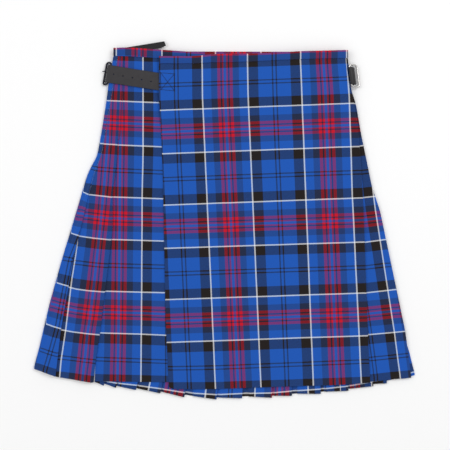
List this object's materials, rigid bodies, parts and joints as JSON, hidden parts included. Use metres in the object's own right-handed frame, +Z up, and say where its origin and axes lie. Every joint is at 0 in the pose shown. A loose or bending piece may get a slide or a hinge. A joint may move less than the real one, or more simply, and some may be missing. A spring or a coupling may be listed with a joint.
{
  "type": "scottish kilt, laid flat",
  "caption": "Blue, black and red tartan wrap kilt laid flat, with knife pleats, an over apron, leather strap and side buckles.",
  "frame": {"origin": "centre of the underside, on the surface that the kilt lies on", "axes": "+Z up from that surface, +Y towards the waist, +X towards the viewer's right, which is the wearer's left hip"},
  "size_m": [0.6861, 0.643, 0.0145],
  "materials": {
    "tartan": "twill woven wool",
    "leather": "smooth dark strap leather",
    "dark_metal": "dark nickel plate",
    "chrome": "bright chrome plate"
  },
  "bodies": {
    "root": {"pleated_back": "tartan", "under_apron": "tartan", "over_apron": "tartan", "waistband_back": "tartan", "waistband_under_apron": "tartan", "waistband_over_apron": "tartan", "right_hip_strap": "leather", "right_hip_strap_tail": "leather", "left_hip_tab": "leather", "right_hip_buckle": "dark_metal", "right_hip_prong": "dark_metal", "left_hip_buckle": "chrome"}
  },
  "joints": []
}
